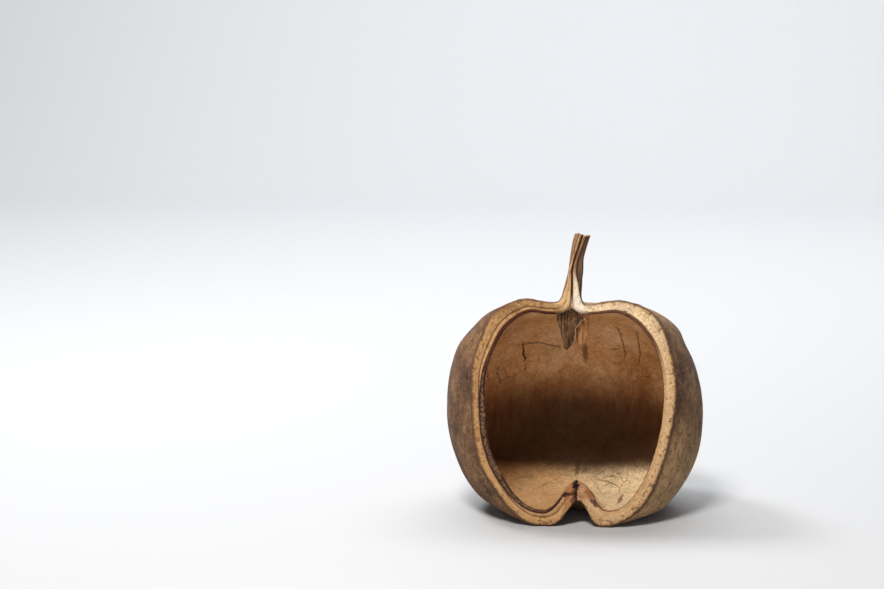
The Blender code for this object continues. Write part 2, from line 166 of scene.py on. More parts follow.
# the point in front of the opening (x, y, z) from which spots and cracks are laid out on the rim's plane
sight = {"eye": (8.1, -972.0, 97.6), "shift": (0.5, -1.0)}

# the beak, seen from the front: places (x, z), half sizes (x, z) and how far each form stands out (or, below 0, in)
beak = {
    "rightLip": ((5.4, -36.9), (4.2, 4.6), 1.5),
    "rightKnuckle": ((3.0, -38.6), (1.9, 2.6), 0.7),
    "leftLip": ((-1.5, -36.8), (2.3, 1.9), 1.1),
    "hole": ((1.2, -33.9), (2.0, 2.9), -2.6),
    "holeCorner": ((-1.6, -34.6), (1.6, 1.1), -1.2),
    "slit": ((1.35, -39.5), (1.6, 5.0), -2.6),
    "leftArch": ((-3.2, -39.3), (1.9, 0.9), -1.3),
    "crease": ((1.4, -29.0), (0.8, 3.4), -0.9),
    "depthReach": 14.0,           # only points this close to the rim's plane take part
}

# painted spots, seen from the front: place (x, z), half sizes, turn in degrees, colour, strength, softness,
# and whether they may lie on the rim as well as on the lining
spots = (
    ((-30.0, 41.5), (9.0, 4.5), 35.0, "#9c5f35", 0.45, 0.6, False),    # warm stain under the left shoulder
    ((4.8, 27.3), (1.2, 4.1), 6.0, "#65412a", 0.75, 0.45, False),      # leaf-shaped stain by the tongue
    ((1.9, -26.3), (1.2, 3.8), -8.0, "#3b2415", 0.60, 0.50, False),    # crease between the floor's lobes
    ((5.2, -27.3), (1.6, 1.0), 40.0, "#4a2d1a", 0.50, 0.50, False),
    ((21.8, -41.1), (0.7, 2.2), -35.0, "#5f4029", 0.75, 0.50, False),  # mark on the right floor
    ((5.6, -36.9), (4.5, 5.0), 0.0, "#bb8861", 0.80, 0.35, True),      # right lip
    ((5.4, -33.4), (2.6, 1.9), 0.0, "#8d655c", 0.65, 0.55, True),
    ((7.8, -38.5), (2.8, 1.5), -38.0, "#8c4a2e", 0.72, 0.60, True),
    ((9.6, -42.8), (2.5, 0.9), -50.0, "#43262a", 0.85, 0.35, True),
    ((-2.6, -42.0), (1.6, 3.6), -22.0, "#9c6644", 0.75, 0.40, True),   # reddish side of the left lobe
    ((-1.4, -36.8), (2.3, 1.9), 0.0, "#b5774f", 0.85, 0.25, True),     # left lip
    ((-3.2, -39.3), (2.0, 0.9), 15.0, "#3a2318", 0.90, 0.35, True),
    ((0.3, -41.0), (1.2, 3.0), 0.0, "#5e341e", 0.80, 0.40, True),
    ((1.35, -39.8), (0.45, 4.8), 0.0, "#1e110a", 0.95, 0.35, True),    # slit, painted dark as the shade in its gap
    ((1.2, -33.9), (1.6, 2.8), 0.0, "#120a06", 1.00, 0.22, True),      # hole, painted dark as the shade inside it
    # the hole's corner, painted dark as its shade
    ((-1.6, -34.7), (1.8, 0.7), 35.0, "#180e08", 0.95, 0.30, True),
    ((2.2, 50.0), (3.4, 3.0), -30.0, "#f4e4d0", 0.60, 0.60, True),     # pale foot of the stalk's right leg
)

# cracks in the lining, seen from the front: along z or x, points as (place along, place across), half width, depth
cracks = (
    ("z", ((22.0, -24.0), (24.4, -23.0), (26.0, -24.1), (28.0, -23.6), (30.4, -24.2), (32.8, -24.3)), 0.30, 1.0),
    ("z", ((18.2, -24.0), (19.6, -22.9), (21.4, -22.6)), 0.25, 0.8),
    ("x", ((-29.0, 30.2), (-21.4, 31.1), (-17.0, 31.8), (-12.3, 31.0), (-7.6, 30.1), (-4.9, 30.2)), 0.22, 0.55),
    ("z", ((23.6, 22.4), (26.4, 23.6), (31.0, 22.6), (35.0, 21.6), (38.6, 20.0), (40.4, 17.8)), 0.22, 0.65),
    ("x", ((15.4, 28.5), (18.6, 29.1), (21.6, 29.6)), 0.24, 0.7),
    ("z", ((21.0, 29.0), (23.8, 30.0), (27.8, 30.4), (31.6, 29.8), (35.2, 29.2), (38.8, 27.8)), 0.22, 0.65),
    ("x", ((9.6, -31.2), (16.2, -32.6), (19.0, -33.9), (22.0, -35.6)), 0.22, 0.8),
    ("x", ((12.8, -30.0), (18.4, -30.2), (21.8, -32.0)), 0.20, 0.7),
    ("z", ((-33.0, 23.6), (-31.0, 22.4), (-29.4, 19.4)), 0.20, 0.7),
    ("x", ((-31.0, -33.4), (-24.0, -31.2), (-16.0, -30.6)), 0.18, 0.4),
    ("x", ((-22.0, -38.0), (-14.0, -35.2), (-8.0, -31.6), (-4.0, -29.0)), 0.18, 0.4),
)


# Catmull-Rom spline through the stations' values, at the given places.
def throughStations(values, where):
    values = np.asarray(values, dtype=float)
    last = len(values) - 1
    first = np.clip(np.floor(where).astype(int), 0, last - 1)
    t = (where - first).reshape((-1,) + (1,) * (values.ndim - 1))
    before = values[np.clip(first - 1, 0, last)]
    here = values[first]
    after = values[first + 1]
    beyond = values[np.clip(first + 2, 0, last)]
    return ((2 * t**3 - 3 * t**2 + 1) * here + (t**3 - 2 * t**2 + t) * 0.5 * (after - before)
            + (3 * t**2 - 2 * t**3) * after + (t**3 - t**2) * 0.5 * (beyond - here))


# 0 below low, 1 above high, and 3t^2 - 2t^3 between.
def smoothStep(low, high, value):
    t = np.clip((value - low) / (high - low), 0.0, 1.0)
    return t * t * (3.0 - 2.0 * t)


# Soft noise, -1 to 1: random numbers on a cubic lattice, blended between the eight corners round each point.
def softNoise(points, cell, seed):
    side = 32
    lattice = np.random.default_rng(seed).uniform(-1.0, 1.0, (side, side, side))
    place = points / cell + 512.0
    base = np.floor(place).astype(int)
    t = place - base
    t = t * t * (3.0 - 2.0 * t)
    total = np.zeros(points.shape[:-1])
    for dx in (0, 1):
        for dy in (0, 1):
            for dz in (0, 1):
                weight = (np.abs(1 - dx - t[..., 0]) * np.abs(1 - dy - t[..., 1]) * np.abs(1 - dz - t[..., 2]))
                total += weight * lattice[(base[..., 0] + dx) % side, (base[..., 1] + dy) % side,
                                          (base[..., 2] + dz) % side]
    return total


# Layers of soft noise: each is half as coarse and half as strong as the one before.
def layeredNoise(points, cell, seed, layers=3):
    total = sum(softNoise(points, cell / 2**k, seed + k) / 2**k for k in range(layers))
    return total / sum(1.0 / 2**k for k in range(layers))


# Small round pits on a plane: one jittered centre a cell, each (1 - (distance/radius)^2) deep inside its radius.
def scatteredPits(u, v, cell, radius, share, seed):
    side = 256
    rng = np.random.default_rng(seed)
    jitter = rng.uniform(0.1, 0.9, (side, side, 2))
    size = radius * rng.uniform(0.5, 1.0, (side, side)) * (rng.random((side, side)) < share)
    baseU = np.floor(u / cell).astype(int)
    baseV = np.floor(v / cell).astype(int)
    depth = np.zeros(u.shape)
    for du in (-1, 0, 1):
        for dv in (-1, 0, 1):
            i = (baseU + du) % side
            j = (baseV + dv) % side
            away = np.hypot(u - (baseU + du + jitter[i, j, 0]) * cell, v - (baseV + dv + jitter[i, j, 1]) * cell)
            reach = np.maximum(size[i, j], 1e-6)
            depth = np.maximum(depth, np.where(size[i, j] > 0, 1.0 - (away / reach) ** 2, 0.0) * size[i, j] / radius)
    return np.clip(depth, 0.0, 1.0)


# One half of an arc from the rim (share 0) to the back (share 1): part of an ellipse that starts past its widest
# point, at the angle -arccos(edge / widest). Gives how far across and how far back each point lies.
def halfArc(edge, widest, share):
    start = np.arccos(np.clip(edge / np.maximum(widest, edge), 0.0, 1.0))[:, None]
    angle = -start + (math.pi / 2 + start) * share[None, :]
    return np.cos(angle) / np.cos(start), (np.sin(angle) + np.sin(start)) / (1.0 + np.sin(start))


# The arc of every row, from the right rim round the back to the left rim: x and z blend from the rim's own places
# to the back's by the arc's depth, and y runs from the front to the back by it.
def arcs(right, left, widest, back, front, share):
    middle = 0.5 * (right[:, 0] + left[:, 0])
    rear = 0.5 * (widest[:, 0] - widest[:, 1])
    halves = []
    for edge, half, side, sign in ((right, right[:, 0] - middle, widest[:, 0] - middle, 1.0),
                                   (left, middle - left[:, 0], widest[:, 1] + middle, -1.0)):
        across, depth = halfArc(half, side, share)
        x = middle[:, None] * (1.0 - depth) + rear[:, None] * depth + sign * half[:, None] * across
        y = front[:, None] + (back[:, 0] - front)[:, None] * depth
        centreZ = 0.5 * (right[:, 1] + left[:, 1])
        rimZ = centreZ[:, None] + (edge[:, 1] - centreZ)[:, None] * np.clip(across, 0.0, 1.0)
        halves.append(np.stack((x, y, rimZ * (1.0 - depth) + back[:, 1][:, None] * depth), axis=-1))
    return np.concatenate((halves[0], halves[1][:, -2::-1]), axis=1)


# Rows at even steps along the rim and the back: the mean of their path lengths, inverted.
def evenRows(count):
    fine = np.linspace(0.0, len(outsideStations) - 1.0, 3101)
    right = throughStations([s[0] for s in outsideStations], fine)
    left = throughStations([s[1] for s in outsideStations], fine)
    back = throughStations([s[3] for s in outsideStations], fine)
    step = sum(weight * np.linalg.norm(np.diff(line, axis=0), axis=1)
               for line, weight in ((right, 0.4), (left, 0.4), (back, 0.2)))
    path = np.concatenate(((0.0,), np.cumsum(step)))
    return np.interp(np.linspace(0.0, path[-1], count), path, fine)


# From the rim's own frame to the part's: lean back, stand on the ground, wear the underside flat.
def standUp(points):
    lean = math.radians(shell["leanDegrees"])
    level = shell["lobeDrop"] * math.cos(lean) + shell["lobeClearance"]
    restY = shell["restBack"] * math.cos(lean) - shell["lobeDrop"] * math.sin(lean)
    y = points[..., 1] * math.cos(lean) + points[..., 2] * math.sin(lean) - restY
    z = points[..., 2] * math.cos(lean) - points[..., 1] * math.sin(lean) + level
    return np.stack((points[..., 0], y, np.maximum(z, 0.0)), axis=-1) * millimetre


# The layout of the front on the rim's plane: where the line from the eye to each point crosses that plane.
def planPlace(grid):
    eyeX, eyeY, eyeZ = sight["eye"]
    share = eyeY / (eyeY - grid[..., 1])
    return (eyeX + (grid[..., 0] - eyeX) * share + sight["shift"][0],
            eyeZ + (grid[..., 2] - eyeZ) * share + sight["shift"][1])


# Path length from each row's (or column's) start.
def pathAlong(points, axis):
    step = np.linalg.norm(np.diff(points, axis=axis), axis=-1)
    start = np.zeros_like(np.take(step, [0], axis=axis))
    return np.concatenate((start, np.cumsum(step, axis=axis)), axis=axis)


# Whole rings in one array: the outside from right to left, the left face inwards, the inside back to the right, and
# the right face outwards.
def roundTheRing(outside, leftFace, inside, rightFace):
    return np.concatenate((outside, leftFace, inside[:, ::-1], rightFace[:, ::-1]), axis=1)


# The whole shell as closed rings in millimetres: arcs through the stations, plus the stalk's ridges (cosines round it),
# slow swells (sines round and down) and the rim's faces (the line between its edges plus the faces' profile). The
# marks say what each point is.
def shellRings():
    rows = evenRows(shell["rows"])
    right, left, widest, back, front = (throughStations([s[i] for s in outsideStations], rows) for i in range(5))
    rightIn, leftIn, widestIn, backIn = (throughStations([s[i] for s in insideStations], rows) for i in range(4))
    rimSize = np.clip(np.linalg.norm(right - rightIn, axis=1) / shell["fullRimWidth"], shell["leastRimShare"], 1.0)
    outShare = np.linspace(0.0, 1.0, shell["outerHalf"] + 1) ** shell["outerCrowding"]
    inShare = np.linspace(0.0, 1.0, shell["innerHalf"] + 1) ** shell["innerCrowding"]
    outer = arcs(right, left, widest, back, front + shell["leftFace"][0][1] * rimSize, outShare)
    inner = arcs(rightIn, leftIn, widestIn, backIn, front + shell["leftFace"][-1][1] * rimSize, inShare)
    outAngle = 0.5 * math.pi * np.concatenate((outShare, 2.0 - outShare[-2::-1]))
    inAngle = 0.5 * math.pi * np.concatenate((inShare, 2.0 - inShare[-2::-1]))

    # ridges that wind up the stalk, with finer fibres on them
    inStalk = np.clip((6.0 - rows) / 1.5, 0.0, 1.0)[:, None]
    turn = 2.0 * outAngle[None, :]
    ridge = shell["ridgeDepth"] * np.cos(shell["ridgeCount"] * turn + shell["ridgeWinding"] * rows[:, None])
    ridge += 0.10 * np.cos(17.0 * turn + 0.9 * rows[:, None] + 1.3) - 0.06
    away = outer - outer.mean(axis=1, keepdims=True)
    away[:, :, 2] = 0.0
    away /= np.linalg.norm(away, axis=2, keepdims=True)
    outer = outer + away * (ridge * inStalk)[:, :, None]

    # the same slow swells on both faces of the wall
    begin, full, wane, end = shell["swellStations"]
    fade = np.clip((rows - begin) / (full - begin), 0.0, 1.0) * np.clip((end - rows) / (end - wane), 0.0, 1.0)
    for skin, angle in ((outer, outAngle), (inner, inAngle)):
        wave = sum(depth * np.sin(aroundBack * angle[None, :] + down * rows[:, None] / len(outsideStations) + start)
                   for depth, aroundBack, down, start in shell["swells"])
        out = skin - np.array(shell["wallCentre"])
        out /= np.linalg.norm(out, axis=2, keepdims=True)
        skin += out * (wave * np.sin(angle) ** 2 * fade[:, None])[:, :, None]

    # the rim's faces, between the edges
    faces = {}
    share = np.linspace(0.0, 1.0, shell["rimSteps"] + 1)[1:-1]
    for hand, outerEdge, innerEdge in (("left", outer[:, -1], inner[:, -1]), ("right", outer[:, 0], inner[:, 0])):
        profile = np.array(shell[hand + "Face"])
        standBack = np.interp(share, profile[:, 0], profile[:, 1]) - np.interp(share, (0.0, 1.0), profile[[0, -1], 1])
        strip = outerEdge[:, None] * (1.0 - share[None, :, None]) + innerEdge[:, None] * share[None, :, None]
        strip[:, :, 1] += standBack[None, :] * rimSize[:, None]
        faces[hand] = strip
    grid = roundTheRing(outer, faces["left"], inner, faces["right"])

    # what each point is, in millimetres along the surface
    leftWidth = np.linalg.norm(outer[:, -1] - inner[:, -1], axis=1)[:, None]
    rightWidth = np.linalg.norm(outer[:, 0] - inner[:, 0], axis=1)[:, None]
    outerGap, innerGap = (np.minimum(path, path[:, -1:] - path) for path in (pathAlong(outer, 1), pathAlong(inner, 1)))
    one = np.ones((len(rows), 1))
    leftOut, leftIn = outAngle > math.pi / 2, inAngle > math.pi / 2
    paleTable = np.array(shell["leftPaleShare"])
    paleLeft = np.interp(rows, paleTable[:, 0], paleTable[:, 1])[:, None]
    paleRight = shell["rightPaleShare"]
    down = pathAlong(0.4 * left + 0.4 * right, 0) / 0.8
    marks = {
        # from the rim's outer edge inwards: below 0 on the skin
        "fromEdge": roundTheRing(-outerGap, share * leftWidth, innerGap + np.where(leftIn, leftWidth, rightWidth),
                                 share * rightWidth),
        # from the rim's inner edge inwards: above 0 in the hollow
        "intoHollow": roundTheRing(-outerGap - np.where(leftOut, leftWidth, rightWidth), (share - 1.0) * leftWidth,
                                   innerGap, (share - 1.0) * rightWidth),
        # from the line where the pale cork ends: above 0 in the purple line
        "pastCork": roundTheRing(-outerGap - 0.5 * leftWidth, (share - paleLeft) * leftWidth,
                                 innerGap + np.where(leftIn, (1.0 - paleLeft) * leftWidth,
                                                     (1.0 - paleRight) * rightWidth),
                                 (share - paleRight) * rightWidth),
        # from the groove along the left face; far away elsewhere
        "fromGroove": roundTheRing(np.full_like(outerGap, -5.0), (share - shell["leftGrooveShare"]) * leftWidth,
                                   np.full_like(innerGap, 5.0), one * np.full_like(share, -5.0)),
        # 0 at the right hand, 1 at the left
        "leftness": roundTheRing(one * outAngle / math.pi, one * np.ones_like(share), one * inAngle / math.pi,
                                 one * np.zeros_like(share)),
        # round the ring at the equator, and down the shell
        "roundMm": roundTheRing(one * outAngle * 60.0, one * (math.pi * 60.0 + share * 7.0), one * inAngle * 55.0,
                                one * (-share * 7.0)),
        "downMm": down[:, None] * np.ones(grid.shape[:2]),
        "station": rows[:, None] * np.ones(grid.shape[:2]),
        # 0 on the skin, 1 on the rim and 2 in the hollow
        "kind": roundTheRing(0.0 * outerGap, one * np.ones_like(share), 2.0 + 0.0 * innerGap,
                             one * np.ones_like(share)),
    }
    marks["planX"], marks["planZ"] = planPlace(grid)
    return grid, marks


# How near a place is to the middle of an ellipse, 1 at its middle and 0 from its edge on: (1 - d^2)^2.
def ellipseBump(planX, planZ, centre, halfSizes):
    square = ((planX - centre[0]) / halfSizes[0]) ** 2 + ((planZ - centre[1]) / halfSizes[1]) ** 2
    return np.clip(1.0 - square, 0.0, 1.0) ** 2


# The lips, hole and slit of the beak: each pushes the points in its ellipse towards the front or back.
def shapeBeak(grid, marks):
    near = (1.0 - smoothStep(beak["depthReach"] - 4.0, beak["depthReach"], grid[..., 1])) * (marks["kind"] > 0.5)
    for name, form in beak.items():
        if name != "depthReach":
            centre, halfSizes, out = form
            grid[..., 1] -= out * near * ellipseBump(marks["planX"], marks["planZ"], centre, halfSizes)
    # the skin arches up between the lobes, behind the beak
    x, y, z = grid[..., 0], grid[..., 1], grid[..., 2]
    arch = np.clip(1.0 - ((x - 0.5) / 9.5) ** 2, 0.0, 1.0) ** 2 * (1.0 - smoothStep(20.0, 36.0, y))
    grid[..., 2] += 3.2 * arch * smoothStep(-40.0, -44.0, z) * (marks["kind"] < 0.5)
    return grid


# Outward normals of a grid of rings: the cross product of the steps round and down.
def ringNormals(grid):
    around = np.roll(grid, -1, axis=1) - np.roll(grid, 1, axis=1)
    down = np.gradient(grid, axis=0)
    normal = np.cross(down, around)
    length = np.linalg.norm(normal, axis=2, keepdims=True)
    return normal / np.maximum(length, 1e-9)


# The relief in millimetres along the normal: a sum of the forms that the real surface has, each faded to its place.
def relief(grid, marks):
    edge = marks["fromEdge"]
    inside = marks["intoHollow"]
    station = marks["station"]
    body = smoothStep(5.0, 8.5, station)
    beforeBeak = 1.0 - smoothStep(28.5, 30.5, station)
    onFace = smoothStep(-0.2, 0.5, edge) * (1.0 - smoothStep(-0.3, 0.3, inside))
    onSkin = 1.0 - smoothStep(-1.5, 0.0, edge)
    inHollow = smoothStep(0.0, 1.5, inside)
    left = smoothStep(0.45, 0.55, marks["leftness"])

    # ragged, lifted outer edge of the rim
    ragged = layeredNoise(grid, 3.6, 11, 3) * shell["raggedEdge"] * np.exp(-(edge / 1.0) ** 2)
    height = ragged * (0.35 + 0.65 * body) * beforeBeak
    # corky grains, low lumps and pits on the face
    cork = layeredNoise(grid, 1.5, 21, 3) * shell["corkRelief"] + 0.28 * layeredNoise(grid, 5.0, 25, 2)
    pits = scatteredPits(marks["downMm"], marks["fromEdge"], 1.9, 0.50, 0.32, 31)
    marks["pit"] = pits * onFace
    height += onFace * (cork - shell["pitDepth"] * pits) * (0.3 + 0.7 * body)
    # skin: shallow hollows and furrows down the meridians
    furrow = softNoise(np.stack((marks["roundMm"] / 2.6, marks["downMm"] / 16.0, 0.0 * edge), axis=-1), 1.0, 41)
    height += onSkin * body * (0.16 * layeredNoise(grid, 9.0, 43, 3) + 0.10 * furrow - 0.12)
    # hollow: pleats that run in from the rim, and a leathery unevenness
    warp = 2.2 * layeredNoise(grid, 14.0, 51, 2)
    pleat = np.sin(2.0 * math.pi * (marks["downMm"] + warp) / shell["pleatSpacing"])
    pleatFade = np.exp(-np.maximum(inside, 0.0) / 9.0) * smoothStep(0.3, 2.5, inside)
    height += inHollow * body * beforeBeak * (shell["pleatDepth"] * pleat * pleatFade
                                              + 0.34 * layeredNoise(grid, 13.0, 53, 3)
                                              + 0.10 * layeredNoise(grid, 2.8, 57, 2))
    # papery wrinkles on the floor's lobes, and crumpled corners at both sides of the ceiling's foot
    planX, planZ = marks["planX"], marks["planZ"]
    floorPart = smoothStep(-22.0, -27.0, planZ)
    crumple = np.abs(softNoise(grid * np.array((1.0, 0.55, 1.0)), 3.4, 61))
    corners = sum(ellipseBump(planX, planZ, centre, (11.0, 8.0))
                  for centre in ((-36.0, 17.0), (31.0, 17.0), (-35.0, -22.0), (33.0, -24.0)))
    marks["crackle"] = np.clip(corners + 1.2 * ellipseBump(planX, planZ, (17.0, -34.0), (15.0, 10.0)), 0.0, 1.0)
    height += inHollow * beforeBeak * (0.60 * floorPart + 0.75 * corners) * (crumple - 0.35)
    # the fold between the lobes runs on into the hollow as a low ridge of the floor, highest behind the lips
    ridgeX, ridgeHalf, ridgeHeight = shell["floorRidge"]
    x, y, z = grid[..., 0], grid[..., 1], grid[..., 2]
    ridge = np.exp(-((x - ridgeX) / ridgeHalf) ** 2) * smoothStep(3.0, 9.0, y) * (1.0 - smoothStep(12.0, 42.0, y))
    height += ridgeHeight * inHollow * ridge * smoothStep(-24.0, -31.0, z)
    # the dark line between the cork and the lining is a narrow groove
    past = marks["pastCork"]
    height -= 0.30 * np.exp(-((past - 0.1) / 0.35) ** 2) * body * beforeBeak * left
    return height


# Keeps points inside the box of the CAD model.
def insideBox(points):
    low = np.array(cadBox[0]) + 2e-5
    high = np.array(cadBox[1]) - 2e-5
    low[2] = 0.0
    return np.clip(points, low, high)


# A mesh from points and quads, smooth, with its marks as attributes.
def meshFrom(name, points, quads, marks=None, extraFaces=()):
    mesh = bpy.data.meshes.new(name)
    mesh.from_pydata(points.reshape(-1, 3).tolist(), [], quads.tolist() + [list(f) for f in extraFaces])
    for key, values in (marks or {}).items():
        attribute = mesh.attributes.new(key, "FLOAT", "POINT")
        attribute.data.foreach_set("value", np.ascontiguousarray(values, dtype=np.float32).ravel())
    mesh.validate()
    mesh.update()
    mesh.shade_smooth()
    piece = bpy.data.objects.new(name, mesh)
    bpy.context.scene.collection.objects.link(piece)
    return piece


# Quads between neighbouring rings of a grid, closed round each ring.
def ringQuads(rowCount, around):
    i = np.arange(rowCount - 1)[:, None] * around
    j = np.arange(around)[None, :]
    k = (j + 1) % around
    return np.stack((i + j, i + around + j, i + around + k, i + k), axis=-1).reshape(-1, 4)


# The shell: each ring point plus its normal times its relief, stood up. One face closes the stalk's cut end, and the
# last ring, at the beak, is closed on itself: its right half is joined to its left half, like a zip.
def makeShell():
    grid, marks = shellRings()
    grid = grid + ringNormals(grid) * relief(grid, marks)[:, :, None]
    points = insideBox(standUp(shapeBeak(grid, marks)))
    rowCount, around = grid.shape[:2]
    last = (rowCount - 1) * around
    outerMid = shell["outerHalf"]
    half = shell["outerHalf"] + shell["rimSteps"] + shell["innerHalf"]
    rightSide = [last + (outerMid - k) % around for k in range(half + 1)]
    leftSide = [last + outerMid + k for k in range(half + 1)]
    seam = [(leftSide[1], rightSide[0], rightSide[1])]
    seam += [(leftSide[k + 1], leftSide[k], rightSide[k], rightSide[k + 1]) for k in range(1, half - 1)]
    seam += [(leftSide[half], leftSide[half - 1], rightSide[half - 1])]
    return meshFrom("nutShell", points, ringQuads(rowCount, around), marks, [range(around)] + seam)


# sRGB hex to linear colour. A number is linear already and gives a grey.
def linearColour(code):
    if not isinstance(code, str):
        return (code, code, code, 1.0)
    parts = np.array([int(code[i:i + 2], 16) for i in (1, 3, 5)]) / 255.0
    linear = np.where(parts <= 0.04045, parts / 12.92, ((parts + 0.055) / 1.055) ** 2.4)
    return (*linear.tolist(), 1.0)


# Feeds a node's inputs: a socket is linked, a hex colour turned to linear, and any other value set as it is.
def feed(tree, node, inputs):
    for key, value in inputs.items():
        if isinstance(value, bpy.types.NodeSocket):
            tree.links.new(value, node.inputs[key])
        else:
            node.inputs[key].default_value = linearColour(value) if isinstance(value, str) else value


# Adds one node with its settings, its inputs and the stops of its colour ramp, and gives one of its outputs.
def addNode(tree, kind, inputs, output=0, stops=(), **settings):
    node = tree.nodes.new("ShaderNode" + kind)
    for key, value in settings.items():
        setattr(node, key, value)
    feed(tree, node, inputs)
    if stops:
        elements = node.color_ramp.elements
        while len(elements) < len(stops):
            elements.new(0.5)
        for element, (place, colour) in zip(elements, stops):
            element.position = place
            element.color = colour if isinstance(colour, tuple) else linearColour(colour)
    return node.outputs[output]


# A new material and its node tree.
def newMaterial(name):
    material = bpy.data.materials.new(name)
    material.use_nodes = True
    return material, material.node_tree


# The end of a material: its bump, a share of so many millimetres deep, and the shader's own inputs.
def finishMaterial(material, height, share, depth, inputs):
    tree = material.node_tree
    bump = addNode(tree, "Bump", {"Height": height, "Strength": share, "Distance": depth * millimetre})
    feed(tree, tree.nodes["Principled BSDF"], inputs | {"Normal": bump})
    return material


# Colours laid over each other, each where its mask is 1.
def overlay(tree, tone, layers, blend="MIX"):
    for mask, colour in layers:
        tone = addNode(tree, "Mix", {"Factor": mask, "A": tone, "B": colour}, "Result", data_type="RGBA",
                       blend_type=blend)
    return tone


# A mask from a value plus so many times a wobble: 0 at the first limit, and as strong as given at the second.
def maskOf(tree, value, limits, strength=1.0, wobble=None, times=1.0):
    if wobble:
        value = addNode(tree, "Math", {0: wobble, 1: times, 2: value}, operation="MULTIPLY_ADD")
    return addNode(tree, "MapRange", {"Value": value, "From Min": limits[0], "From Max": limits[1],
                                      "To Max": strength}, interpolation_type="SMOOTHSTEP")


# The product of masks, which is 1 only where all of them are, or of other values.
def productOf(tree, total, *others):
    for value in others:
        total = addNode(tree, "Math", {0: total, 1: value}, operation="MULTIPLY")
    return total


# The first value plus each other one times its weight, as for the height of a bump.
def weightedSum(tree, total, others):
    for value, weight in others:
        total = addNode(tree, "Math", {0: value, 1: weight, 2: total}, operation="MULTIPLY_ADD")
    return total


# Threads or scratches: noise whose places are first turned about y, then shrunk more along than across.
def drawnNoise(tree, place, shrink, detail, roughness=0.5, turn=0.0, distortion=0.0):
    drawn = addNode(tree, "Mapping", {"Vector": place, "Rotation": (0.0, math.radians(turn), 0.0), "Scale": shrink})
    return addNode(tree, "TexNoise", {"Vector": drawn, "Scale": 1.0, "Detail": detail, "Roughness": roughness,
                                      "Distortion": distortion})


# Spots in front view: ellipses with soft, ragged edges, each from how far a place lies out in its own half sizes.
def spotted(tree, tone, planX, planZ, ragged, forRim, nearRim=None):
    front = addNode(tree, "CombineXYZ", {"X": planX, "Y": planZ})
    for (x, z), (halfX, halfZ), turn, code, strength, soft, onRim in spots:
        if onRim or not forRim:
            own = addNode(tree, "Mapping", {"Vector": front, "Location": (x, z, 0.0),
                                            "Rotation": (0.0, 0.0, math.radians(turn)),
                                            "Scale": (halfX, halfZ, 1.0)}, vector_type="TEXTURE")
            out = addNode(tree, "VectorMath", {0: own}, "Value", operation="LENGTH")
            mask = maskOf(tree, out, (2.08 + soft, 1.95 - soft), strength, ragged, 1.8)
            if nearRim and onRim:
                mask = productOf(tree, mask, nearRim)
            tone = overlay(tree, tone, ((mask, code),))
    return tone


